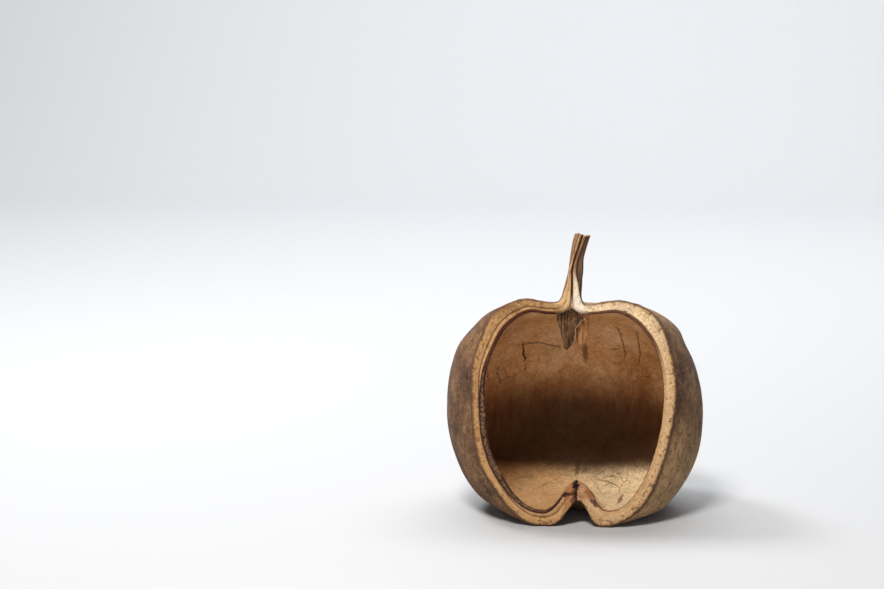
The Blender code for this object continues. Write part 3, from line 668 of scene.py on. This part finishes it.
# Dry husk skin: felt-like outside of a woody fruit. Matte, grey-brown, mottled, with fibres down the meridians.
def makeSkinMaterial():
    material, tree = newMaterial("drySkin")
    place = addNode(tree, "TexCoord", {}, "Object")
    station, around, down, edge, leftness = (
        addNode(tree, "Attribute", {}, "Fac", attribute_name=name)
        for name in ("station", "roundMm", "downMm", "fromEdge", "leftness"))
    clouds, blotches, felt, flecks = (
        addNode(tree, "TexNoise", {"Vector": place, "Scale": 1000.0 / grain, "Detail": detail, "Roughness": rough})
        for grain, detail, rough in ((16.0, 4.0, 0.6), (3.4, 5.0, 0.68), (0.8, 3.0, 0.6), (1.5, 4.0, 0.7)))
    # streaks 1.1 mm wide and 7 mm long
    meridian = addNode(tree, "CombineXYZ", {"X": around, "Y": down})
    streaks = drawnNoise(tree, meridian, (0.9, 0.14, 1.0), 5.0, 0.7, distortion=0.5)
    warm = addNode(tree, "ValToRGB", {"Fac": clouds}, stops=((0.34, "#604029"), (0.50, "#7c5638"), (0.66, "#9b744b")))
    cool = addNode(tree, "ValToRGB", {"Fac": clouds}, stops=((0.34, "#5c402b"), (0.50, "#7c583d"), (0.66, "#a07850")))
    # the right side has weathered greyer than the left, and its foot and shoulder are painted paler: painted light from
    # the table's bounce below and from the light above
    # painted light: the right side's foot and shoulder are made paler
    paintedLightMask = addNode(tree, "Math", {0: maskOf(tree, station, (18.5, 22.5), 0.90, clouds, 3.0),
                                    1: maskOf(tree, station, (15.0, 11.5), 0.60)}, operation="MAXIMUM")
    tone = overlay(tree, cool, ((maskOf(tree, leftness, (0.30, 0.75), 0.8), warm),
                                (productOf(tree, paintedLightMask, maskOf(tree, leftness, (0.42, 0.20))), "#c09a6e")))
    streakTone = addNode(tree, "ValToRGB", {"Fac": streaks}, stops=((0.34, 0.50), (0.50, 0.85), (0.66, 1.12)))
    blotchTone = addNode(tree, "ValToRGB", {"Fac": blotches}, stops=((0.36, 0.50), (0.52, 0.95), (0.70, 1.30)))
    feltTone = addNode(tree, "ValToRGB", {"Fac": felt}, stops=((0.36, 0.62), (0.55, 1.0), (0.70, 1.25)))
    tone = overlay(tree, tone, ((0.80, streakTone), (0.90, blotchTone), (0.80, feltTone)), "MULTIPLY")
    # yellow-tan flecks where the felt has rubbed off, dark flecks where dirt has stayed
    tone = overlay(tree, tone, ((maskOf(tree, flecks, (0.58, 0.68), 0.60), "#b3905f"),
                                (maskOf(tree, flecks, (0.41, 0.34), 0.70), "#3f2b20")))
    # the stalk: fibrous wood in light ribs and dark furrows, its left side painted lighter than its right, a painted
    # light from the left
    fibres = drawnNoise(tree, meridian, (0.30, 0.05, 1.0), 6.0, 0.78)
    wood = addNode(tree, "ValToRGB", {"Fac": fibres}, stops=((0.38, "#1f120b"), (0.50, "#543a27"), (0.62, "#96714f")))
    # painted light: a lighter copy of the wood for the stalk's lit left side
    paintedLitWood = addNode(tree, "ValToRGB", {"Fac": fibres}, stops=((0.38, "#4f3320"), (0.50, "#8d6949"),
                                                                  (0.62, "#c09a70")))
    wood = overlay(tree, wood, ((maskOf(tree, leftness, (0.45, 0.85)), paintedLitWood),))
    # its pale cut end, and a thin dark line just outside the rim
    tone = overlay(tree, tone, ((maskOf(tree, station, (7.4, 5.4)), wood),
                                (maskOf(tree, station, (0.10, 0.02), 0.9, felt, 0.06), "#c7a988"),
                                (maskOf(tree, edge, (-0.5, 0.9), 0.75, blotches, 2.2), "#4c3224")))
    rough = addNode(tree, "MapRange", {"Value": blotches, "From Min": 0.3, "From Max": 0.7, "To Min": 0.80,
                                       "To Max": 0.95})
    height = weightedSum(tree, blotches, ((streaks, 0.6), (felt, 0.5)))
    return finishMaterial(material, height, 0.8, 0.7, {"Base Color": tone, "Roughness": rough,
                                                       "Specular IOR Level": 0.25, "Sheen Weight": 0.03,
                                                       "Sheen Roughness": 0.5})


# Cork of the torn rim: pale straw, granular, with dark pits, a brown outer line and a purple-brown band inside.
def makeRimMaterial():
    material, tree = newMaterial("corkRim")
    place = addNode(tree, "TexCoord", {}, "Object")
    station, edge, past, groove, inside, leftness, pit, down, planX, planZ = (
        addNode(tree, "Attribute", {}, "Fac", attribute_name=name)
        for name in ("station", "fromEdge", "pastCork", "fromGroove", "intoHollow", "leftness", "pit", "downMm",
                     "planX", "planZ"))
    grains, clouds, lumps, fine = (
        addNode(tree, "TexNoise", {"Vector": place, "Scale": 1000.0 / grain, "Detail": detail, "Roughness": rough})
        for grain, detail, rough in ((1.0, 3.0, 0.65), (6.0, 3.0, 0.6), (2.2, 3.0, 0.6), (0.45, 2.0, 0.5)))
    # the mean of the grains and the clouds, which weigh 0.8 as much
    mixed = productOf(tree, weightedSum(tree, grains, ((clouds, 0.8),)), 0.5556)
    cream = addNode(tree, "ValToRGB", {"Fac": mixed}, stops=((0.36, "#cfa268"), (0.47, "#f5d4a6"), (0.60, "#feeed6")))
    tan = addNode(tree, "ValToRGB", {"Fac": mixed}, stops=((0.36, "#845a35"), (0.48, "#b58a5b"), (0.61, "#d9b585")))
    lumpTone = addNode(tree, "ValToRGB", {"Fac": lumps}, stops=((0.36, 0.72), (0.50, 0.98), (0.66, 1.10)))
    # cream at the right, tan at the left, which is partly its own colour and partly painted shade, and warmer and
    # browner from half way down
    topLeft = productOf(tree, maskOf(tree, station, (16.0, 10.0), 0.40, lumps, 3.0), leftness)
    tone = overlay(tree, cream, ((leftness, tan), (topLeft, "#8a6039"),
                                 (maskOf(tree, station, (11.0, 17.0), 0.65, lumps, 3.0), "#c0925e"),
                                 (maskOf(tree, station, (19.0, 25.0), 0.40, lumps, 4.0), "#c49c70")))
    tone = overlay(tree, tone, ((0.7, lumpTone),), "MULTIPLY")
    # dark pits, more of them near the outer edge
    specks = productOf(tree, maskOf(tree, lumps, (0.54, 0.62), 0.70), maskOf(tree, edge, (3.2, 0.6), 1.0, clouds, -3.0))
    # the two tones along the face's inner and outer edges are painted shade, as if the face were rounded
    tone = overlay(tree, tone, ((maskOf(tree, clouds, (0.48, 0.62), 0.45), "#bb8a55"),
                                (maskOf(tree, inside, (-2.0, -0.3), 0.45, lumps, 0.8), "#a4774b"),
                                (maskOf(tree, edge, (1.6, -0.4), 0.45, lumps, -1.8), "#a4764a"),
                                (maskOf(tree, pit, (0.15, 0.60), 0.70), "#7d5029"), (specks, "#7d5230"),
                                (maskOf(tree, edge, (0.2, -0.9), 0.90, grains, -2.6), "#5e4030")))
    # the thin groove along the left band, then the purple-brown band with a dark line at each of its edges
    grooveLine = productOf(tree, maskOf(tree, groove, (0.75, 0.35), 0.85, grains, 0.4),
                          maskOf(tree, groove, (-0.45, -0.15)))
    band = addNode(tree, "ValToRGB", {"Fac": grains}, stops=((0.36, "#33201a"), (0.50, "#573c2f"), (0.64, "#8a6849")))
    band = overlay(tree, band, ((maskOf(tree, lumps, (0.50, 0.64), 0.60), "#8f7053"),))
    startLine = productOf(tree, maskOf(tree, past, (0.30, 0.65), 0.9, lumps, 1.0),
                         maskOf(tree, past, (1.35, 0.95), 1.0, lumps, 1.0))
    endLine = productOf(tree, maskOf(tree, inside, (-0.55, -0.05), 0.85, lumps, 1.2),
                       maskOf(tree, leftness, (0.4, 0.6)), maskOf(tree, clouds, (0.38, 0.52)))
    # under the top of the rim a dark crimson line, partly a purple-brown colour and partly painted shadow under the
    # rim's upper edge
    upperShadeLine = productOf(tree, maskOf(tree, inside, (-1.6, -0.9), 0.90, grains, 1.1),
                         maskOf(tree, station, (15.5, 12.5)))
    tone = overlay(tree, tone, ((grooveLine, "#5f3d28"), (maskOf(tree, past, (0.0, 0.35), 1.0, fine, 0.4), band),
                                (startLine, "#2f1a15"), (upperShadeLine, "#56291a"), (endLine, "#3b211c")))
    # up the stalk the cork turns into brown fibre, and the legs below it are lighter
    legs = overlay(tree, "#fbe6c6", ((leftness, "#e6bd88"), (maskOf(tree, grains, (0.46, 0.34), 0.6), "#b27f50")))
    lengthwise = addNode(tree, "CombineXYZ", {"X": edge, "Y": down, "Z": leftness})
    threads = drawnNoise(tree, lengthwise, (1.7, 0.16, 9.0), 4.0, 0.65)
    wood = addNode(tree, "ValToRGB", {"Fac": threads}, stops=((0.38, "#5f4029"), (0.50, "#ab805a"),
                                                              (0.62, "#dcb38a")))
    # painted shade: the stalk's wood is darker on its right side
    wood = overlay(tree, wood, ((maskOf(tree, leftness, (0.6, 0.3), 0.5), "#6b4a33"),))
    tone = overlay(tree, tone, ((maskOf(tree, station, (8.6, 6.4), 0.8), legs),
                                (maskOf(tree, station, (4.7, 3.0), 1.0, lumps, 1.0), wood),
                                (maskOf(tree, station, (0.20, 0.08), 0.85), "#d9bf9c")))
    tone = spotted(tree, tone, planX, planZ, grains, True)
    height = weightedSum(tree, grains, ((specks, -0.8), (fine, 0.4)))
    return finishMaterial(material, height, 0.9, 0.8, {"Base Color": tone, "Roughness": 0.92,
                                                       "Specular IOR Level": 0.2})


# Hairline cracks: each follows a ramp of its place across while it runs along x or z, and fades at both ends.
def crackMask(tree, planX, planZ, wobble):
    total = 0.0
    for axis, path, halfWidth, strength in cracks:
        along, aside = (planZ, planX) if axis == "z" else (planX, planZ)
        first, last = path[0][0], path[-1][0]
        low = min(p[1] for p in path)
        span = max(p[1] for p in path) - low + 0.01
        stops = [((a - first) / (last - first), ((v - low) / span,) * 3 + (float(0 < k < len(path) - 1),))
                 for k, (a, v) in enumerate(path)]
        t = addNode(tree, "MapRange", {"Value": along, "From Min": first, "From Max": last})
        across = addNode(tree, "ValToRGB", {"Fac": t}, "Color", stops)
        fade = across.node.outputs["Alpha"]
        off = weightedSum(tree, aside, ((across, -span), (wobble, 1.6)))
        off = addNode(tree, "Math", {0: off, 1: low + 0.8}, operation="SUBTRACT")
        away = addNode(tree, "Math", {0: off}, operation="ABSOLUTE")
        line = productOf(tree, maskOf(tree, away, (halfWidth * 1.8, halfWidth * 0.5), strength), fade)
        total = addNode(tree, "Math", {0: total, 1: line}, operation="MAXIMUM")
    return total


# Lining of the hollow: smooth, leathery inner husk. Tan, scratched, with pores, hairline cracks and a dark edge line.
def makeLiningMaterial():
    material, tree = newMaterial("huskLining")
    place = addNode(tree, "TexCoord", {}, "Object")
    inside, station, leftness, planX, planZ, crackle = (
        addNode(tree, "Attribute", {}, "Fac", attribute_name=name)
        for name in ("intoHollow", "station", "leftness", "planX", "planZ", "crackle"))
    clouds, grain, pores, wander = (
        addNode(tree, "TexNoise", {"Vector": place, "Scale": 1000.0 / size, "Detail": detail, "Roughness": rough})
        for size, detail, rough in ((24.0, 4.0, 0.6), (1.4, 5.0, 0.7), (0.55, 2.0, 0.5), (4.0, 3.0, 0.65)))
    tone = addNode(tree, "ValToRGB", {"Fac": clouds}, stops=((0.34, "#ca8d58"), (0.50, "#e2ac76"), (0.66, "#edc192")))
    # the two lobes of the floor are paler, like paper, and the right one paler still, partly its own colour and partly
    # painted light from the left
    floorPart = maskOf(tree, planZ, (-20.0, -27.0), 0.75)
    paler = maskOf(tree, planX, (-9.0, 21.0), 1.0, wander, 6.0)
    tone = overlay(tree, tone, ((floorPart, "#d8af7c"), (productOf(tree, floorPart, paler), "#fde5b8")))
    # fine scratches in two directions, 0.5 mm wide and 8 mm long
    scratches = 0.0
    for turn, shrink in ((18.0, (1800.0, 900.0, 130.0)), (-64.0, (1700.0, 900.0, 150.0))):
        line = maskOf(tree, drawnNoise(tree, place, shrink, 3.0, turn=turn), (0.60, 0.74), 0.25)
        scratches = addNode(tree, "Math", {0: scratches, 1: line}, operation="MAXIMUM")
    grainTone = addNode(tree, "ValToRGB", {"Fac": grain}, stops=((0.34, 0.62), (0.52, 0.95), (0.68, 1.18)))
    wanderTone = addNode(tree, "ValToRGB", {"Fac": wander}, stops=((0.36, 0.70), (0.52, 1.0), (0.66, 1.15)))
    tone = overlay(tree, tone, ((0.85, grainTone), (0.50, wanderTone)), "MULTIPLY")
    tone = overlay(tree, tone, ((scratches, "#7c5230"), (maskOf(tree, pores, (0.63, 0.74), 0.55), "#6b4529")))
    # plates 7 mm wide with cracks between them, only where the lining has crumpled
    bent = addNode(tree, "TexNoise", {"Vector": place, "Scale": 170.0, "Detail": 4.0}, "Color")
    bent = addNode(tree, "VectorMath", {0: bent, 1: (0.005, 0.005, 0.005), 2: place}, operation="MULTIPLY_ADD")
    plates = addNode(tree, "TexVoronoi", {"Vector": bent, "Scale": 190.0}, "Distance", feature="DISTANCE_TO_EDGE")
    plateLine = productOf(tree, maskOf(tree, plates, (0.045, 0.010), 0.80),
                         maskOf(tree, crackle, (0.30, 0.80), 1.0, wander, 0.4), maskOf(tree, grain, (0.46, 0.60)))
    lines = addNode(tree, "Math", {0: plateLine, 1: crackMask(tree, planX, planZ, wander)}, operation="MAXIMUM")
    # orange-tan beside the rim, then a second thin line at the upper left and the dark line at the edge
    secondLine = productOf(tree, maskOf(tree, inside, (3.9, 3.3), 0.6, grain, 1.2),
                          maskOf(tree, inside, (2.3, 2.9), 1.0, grain, 1.2), maskOf(tree, leftness, (0.5, 0.7)),
                          maskOf(tree, station, (17.0, 14.0)))
    # the dark line under the top of the rim is partly the lining's own colour and partly painted shadow under the rim's
    # upper edge
    upperShadeLine = productOf(tree, maskOf(tree, inside, (3.0, 2.0), 0.92, grain, 1.4),
                         maskOf(tree, station, (16.0, 12.0)))
    tone = overlay(tree, tone, ((lines, "#3a2113"), (maskOf(tree, inside, (10.0, 1.0), 0.50, grain, 3.0), "#b0743f"),
                                (secondLine, "#5c3a34"), (upperShadeLine, "#4b2214"),
                                (maskOf(tree, inside, (1.55, 0.95), 0.95, grain, 1.0), "#3b1d15")))
    # the deep back, between the ceiling and the floor, is darkened in streaks, partly a dark stain and partly painted
    # shade where little light reaches it; the edges of the dark zone and of its darkest part are arches, 0.0036 and
    # 0.010 of x squared lower at the sides
    squareX = productOf(tree, planX, planX)
    arch, innerArch = (weightedSum(tree, planZ, ((squareX, bend),)) for bend in (0.0036, 0.010))
    deep = productOf(tree, maskOf(tree, arch, (27.0, 6.0), 0.92, clouds, 7.0),
                    maskOf(tree, planZ, (-27.5, -19.5), 1.0, clouds, 6.0))
    streaks = drawnNoise(tree, addNode(tree, "CombineXYZ", {"X": planX, "Y": planZ}), (0.42, 0.07, 1.0), 5.0, 0.7)
    deepStainAndShade = addNode(tree, "ValToRGB", {"Fac": streaks}, stops=((0.34, "#43260f"), (0.50, "#5f3a20"),
                                                                  (0.66, "#7a5030")))
    deepStainAndShade = overlay(tree, deepStainAndShade, ((maskOf(tree, innerArch, (18.0, -8.0), 0.92), "#301809"),))
    tone = overlay(tree, tone, ((deep, deepStainAndShade),))
    tone = spotted(tree, tone, planX, planZ, grain, False, maskOf(tree, inside, (27.0, 17.0), 1.0, wander, 3.0))
    height = weightedSum(tree, grain, ((lines, -1.6), (scratches, -0.5)))
    return finishMaterial(material, height, 0.8, 0.9, {"Base Color": tone, "Roughness": 0.75,
                                                       "Specular IOR Level": 0.25})


# Each face takes the finish of most of its corners: skin, rim or lining.
def assignFinishes(piece, finishes):
    mesh = piece.data
    for finish in finishes:
        mesh.materials.append(finish)
    kind = np.zeros(len(mesh.vertices), dtype=np.float32)
    mesh.attributes["kind"].data.foreach_get("value", kind)
    starts = np.zeros(len(mesh.polygons), dtype=np.int32)
    totals = np.zeros(len(mesh.polygons), dtype=np.int32)
    corners = np.zeros(len(mesh.loops), dtype=np.int32)
    mesh.polygons.foreach_get("loop_start", starts)
    mesh.polygons.foreach_get("loop_total", totals)
    mesh.loops.foreach_get("vertex_index", corners)
    mean = np.add.reduceat(kind[corners], starts) / totals
    isRim = (mean > 0.01) & (mean < 1.99)
    index = np.where(isRim, 1, np.where(mean >= 1.99, 2, 0))
    mesh.polygons.foreach_set("material_index", index.astype(np.int32))
    mesh.update()


nutShell = makeShell()
assignFinishes(nutShell, (makeSkinMaterial(), makeRimMaterial(), makeLiningMaterial()))
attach(nutShell, "root")
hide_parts("nut_shell")
print("shell made,", len(nutShell.data.vertices), "points")

# the two flaps that hang behind the rim under the stalk, from the top down:
# left edge x, right edge x, middle y, height z and half thickness
tongue = {
    "stations": ((-3.2, -2.1, 4.0, 51.8, 0.6), (-4.6, -1.2, 4.8, 50.2, 1.3), (-6.6, -0.6, 5.6, 48.2, 2.0),
                 (-9.0, 1.9, 6.2, 45.8, 2.1), (-9.0, 4.1, 6.3, 43.8, 2.0), (-8.5, 1.9, 6.2, 42.2, 1.9),
                 (-7.8, 0.4, 6.0, 39.7, 1.8), (-7.0, -0.2, 5.7, 36.7, 1.6), (-6.3, -0.8, 5.6, 33.0, 1.3),
                 (-5.8, -2.4, 5.7, 30.7, 1.0), (-4.8, -3.6, 5.8, 29.4, 0.5)),
    "rows": 150,
    "around": 120,
    "squareness": 0.72,           # below 1 the section is flatter in front
    "ridges": ((0.30, 5.0, 0.4), (0.16, 11.0, 1.9), (0.09, 23.0, 0.7)),
    "groove": (0.10, 0.16, 0.75), # place across, half width and depth of the middle groove
}
sideLobe = {
    "stations": ((-0.6, 5.6, 10.8, 50.0, 1.8), (-0.6, 6.0, 10.8, 47.0, 2.5), (-0.4, 6.2, 10.4, 43.0, 2.6),
                 (-0.2, 5.9, 10.0, 38.5, 2.3), (0.1, 5.2, 9.7, 34.5, 1.9), (0.5, 4.0, 9.6, 31.8, 1.4),
                 (1.2, 2.8, 9.7, 30.6, 0.5)),
    "rows": 90,
    "around": 80,
    "squareness": 0.85,
    "ridges": ((0.10, 3.0, 0.9), (0.05, 9.0, 2.3)),
    "groove": (0.55, 0.20, 0.35),
}


# A hanging flap: rings of the power ellipse (|cos|^n, |sin|^n) between its left and right edges, with ridges that run
# down it, a groove, noise, and a point at each end.
def makeFlap(name, look, seed):
    table = np.array(look["stations"])
    where = np.linspace(0.0, len(table) - 1.0, look["rows"])
    left, right, back, height, thick = throughStations(table, where).T
    # the edges' tears and the ridges' waver, by height
    leftTear, rightTear, waver = (
        size * softNoise(np.stack((height / cell, 0.0 * height, 0.0 * height), axis=-1), 1.0, seed + more)
        for size, cell, more in ((0.35, 1.6, 0), (0.35, 1.3, 5), (0.10, 5.0, 9)))
    left, right = left + leftTear, np.maximum(right + rightTear, left + 0.6)
    angle = np.linspace(0.0, 2.0 * math.pi, look["around"], endpoint=False)
    across = np.sign(np.cos(angle)) * np.abs(np.cos(angle)) ** look["squareness"]
    outward = np.sign(np.sin(angle)) * np.abs(np.sin(angle)) ** look["squareness"]
    half = 0.5 * (right - left)[:, None]
    x = 0.5 * (right + left)[:, None] + half * across[None, :]
    front = outward[None, :] < 0.0
    u = across[None, :] + waver[:, None]
    rise = sum(depth * np.cos(count * math.pi * u + start) for depth, count, start in look["ridges"])
    place, wide, deep = look["groove"]
    rise = rise - deep * np.exp(-((u - place) / wide) ** 2)
    rise = rise * np.minimum(thick[:, None] / 1.6, 1.0) * (1.0 - np.abs(across[None, :]) ** 4) * front
    y = back[:, None] + np.maximum(thick[:, None] + rise, 0.25) * outward[None, :]
    grid = np.stack((x, y, np.broadcast_to(height[:, None], x.shape)), axis=-1)
    grid[..., 1] -= 0.14 * layeredNoise(grid * np.array((1.0, 1.0, 0.3)), 1.3, seed + 20, 3) * front
    rowCount, around = grid.shape[:2]
    top, bottom = grid[:1].mean(axis=1) + np.array((0.0, 0.0, 0.3)), grid[-1:].mean(axis=1) - np.array((0.0, 0.0, 0.4))
    points = np.concatenate((grid.reshape(-1, 3), top, bottom))
    ring = np.arange(around)
    following = (ring + 1) % around
    topId, bottomId, lastRing = rowCount * around, rowCount * around + 1, (rowCount - 1) * around
    caps = [(topId, int(a), int(b)) for a, b in zip(ring, following)]
    caps += [(bottomId, lastRing + int(b), lastRing + int(a)) for a, b in zip(ring, following)]
    quads = ringQuads(rowCount, around)
    edgeShare = np.concatenate((np.broadcast_to(across[None, :], (rowCount, around)).ravel(), (0.0, 0.0)))
    piece = meshFrom(name, insideBox(standUp(points)), quads, {"acrossShare": edgeShare}, caps)
    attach(piece, "root")
    print(name, "made,", len(points), "points")
    return piece


# Woody fibre of the flaps: matte, drawn out lengthwise in fine dark and light threads, with a thin pale right edge.
def makeFibreMaterial(name, stops, threadWidth, edgeColour, edgeStrength):
    material, tree = newMaterial(name)
    place = addNode(tree, "TexCoord", {}, "Object")
    across = addNode(tree, "Attribute", {}, "Fac", attribute_name="acrossShare")
    threads = drawnNoise(tree, place, (1000.0 / threadWidth, 1000.0 / threadWidth, 120.0 / threadWidth), 5.0, 0.7)
    mottle = addNode(tree, "TexNoise", {"Vector": place, "Scale": 1000.0 / 2.6, "Detail": 4.0, "Roughness": 0.6})
    mottleTone = addNode(tree, "ValToRGB", {"Fac": mottle}, stops=((0.36, 0.62), (0.52, 1.0), (0.66, 1.2)))
    tone = addNode(tree, "ValToRGB", {"Fac": threads}, stops=stops)
    tone = overlay(tree, tone, ((0.6, mottleTone),), "MULTIPLY")
    tone = overlay(tree, tone, ((maskOf(tree, across, (0.90, 0.985), edgeStrength, mottle, 0.04), edgeColour),))
    height = weightedSum(tree, threads, ((mottle, 0.5),))
    return finishMaterial(material, height, 0.9, 0.6, {"Base Color": tone, "Roughness": 0.88,
                                                       "Specular IOR Level": 0.2})


stalkTongue = makeFlap("stalkTongue", tongue, 101)
stalkTongue.data.materials.append(makeFibreMaterial(
    "darkFibre", ((0.38, "#22130b"), (0.50, "#573a26"), (0.64, "#8f6a47")), 0.9, "#e8cfa8", 0.9))
tongueLobe = makeFlap("tongueLobe", sideLobe, 131)
tongueLobe.data.materials.append(makeFibreMaterial(
    "tanFibre", ((0.36, "#7f522c"), (0.50, "#a57348"), (0.66, "#c09363")), 1.4, "#c79c6e", 0.6))

studio = {
    "camera": (0.0081, -1.0028, 0.2436),
    "cameraAngles": (82.0, 0.0, 4.2),
    "lens": 85.0,
    "paperColour": "#b7b8ba",
    "keyLight": {"place": (-0.20, -0.66, 0.98), "aim": (0.0, 0.0, 0.05), "size": 0.26, "watts": 12.0,
                 "colour": (1.0, 0.975, 0.94)},
    "overheadSoftbox": {"place": (-0.52, 0.22, 0.88), "aim": (0.0, 0.0, 0.05), "size": 0.25, "watts": 5.8,
                        "colour": (1.0, 0.99, 0.98)},
    "tableCard": {"place": (-0.02, -0.26, 0.01), "aim": (0.0, -0.08, 0.20), "size": 0.30, "watts": 0.60,
                  "colour": (1.0, 0.985, 0.96)},
    "wallLight": {"place": (0.05, 0.9, 1.9), "aim": (-0.05, 2.2, 0.6), "size": 1.8, "watts": 74.0,
                  "colour": (0.97, 0.985, 1.0)},
    "worldGrey": 0.04,
}


# A seamless paper sweep: floor, a quarter circle of the given radius, and a wall.
def makeSweep():
    radius, wallY, frontY, halfWidth, top = 0.7, 2.2, -1.6, 2.6, 2.6
    turn = np.linspace(0.0, math.pi / 2, 25)
    profileY = np.concatenate(((frontY, -0.6, 0.4), wallY - radius + radius * np.sin(turn), (wallY,)))
    profileZ = np.concatenate(((0.0, 0.0, 0.0), radius - radius * np.cos(turn), (top,)))
    acrossX = np.linspace(-halfWidth, halfWidth, 9)
    points = np.stack((np.broadcast_to(acrossX[:, None], (9, len(profileY))),
                       np.broadcast_to(profileY, (9, len(profileY))),
                       np.broadcast_to(profileZ, (9, len(profileY)))), axis=-1)
    i = np.arange(8)[:, None] * len(profileY)
    j = np.arange(len(profileY) - 1)[None, :]
    quads = np.stack((i + j, i + len(profileY) + j, i + len(profileY) + j + 1, i + j + 1), axis=-1).reshape(-1, 4)
    sweep = meshFrom("paperSweep", points, quads)
    paper, tree = newMaterial("paper")
    feed(tree, tree.nodes["Principled BSDF"], {"Base Color": studio["paperColour"], "Roughness": 0.9})
    sweep.data.materials.append(paper)
    return sweep


# A square lamp that looks from its place along the line to its aim.
def addSoftbox(name, look):
    light = bpy.data.lights.new(name, "AREA")
    light.shape = "SQUARE"
    light.size = look["size"]
    light.energy = look["watts"]
    light.color = look["colour"]
    lamp = bpy.data.objects.new(name, light)
    lamp.visible_camera = False
    bpy.context.scene.collection.objects.link(lamp)
    lamp.location = look["place"]
    lamp.rotation_euler = (Vector(look["aim"]) - Vector(look["place"])).to_track_quat("-Z", "Y").to_euler()
    return lamp


makeSweep()
for lightName in ("keyLight", "overheadSoftbox", "tableCard", "wallLight"):
    addSoftbox(lightName, studio[lightName])
world = bpy.data.worlds.new("studio")
bpy.context.scene.world = world
world.use_nodes = True
feed(world.node_tree, world.node_tree.nodes["Background"], {"Color": linearColour(studio["worldGrey"])})

camera = bpy.data.objects.new("camera", bpy.data.cameras.new("camera"))
bpy.context.scene.collection.objects.link(camera)
camera.location = studio["camera"]
camera.rotation_euler = Euler([math.radians(v) for v in studio["cameraAngles"]])
camera.data.lens = studio["lens"]
camera.data.sensor_width = 36.0
bpy.context.scene.camera = camera
bpy.context.scene.view_settings.view_transform = "Standard"
print("studio made")
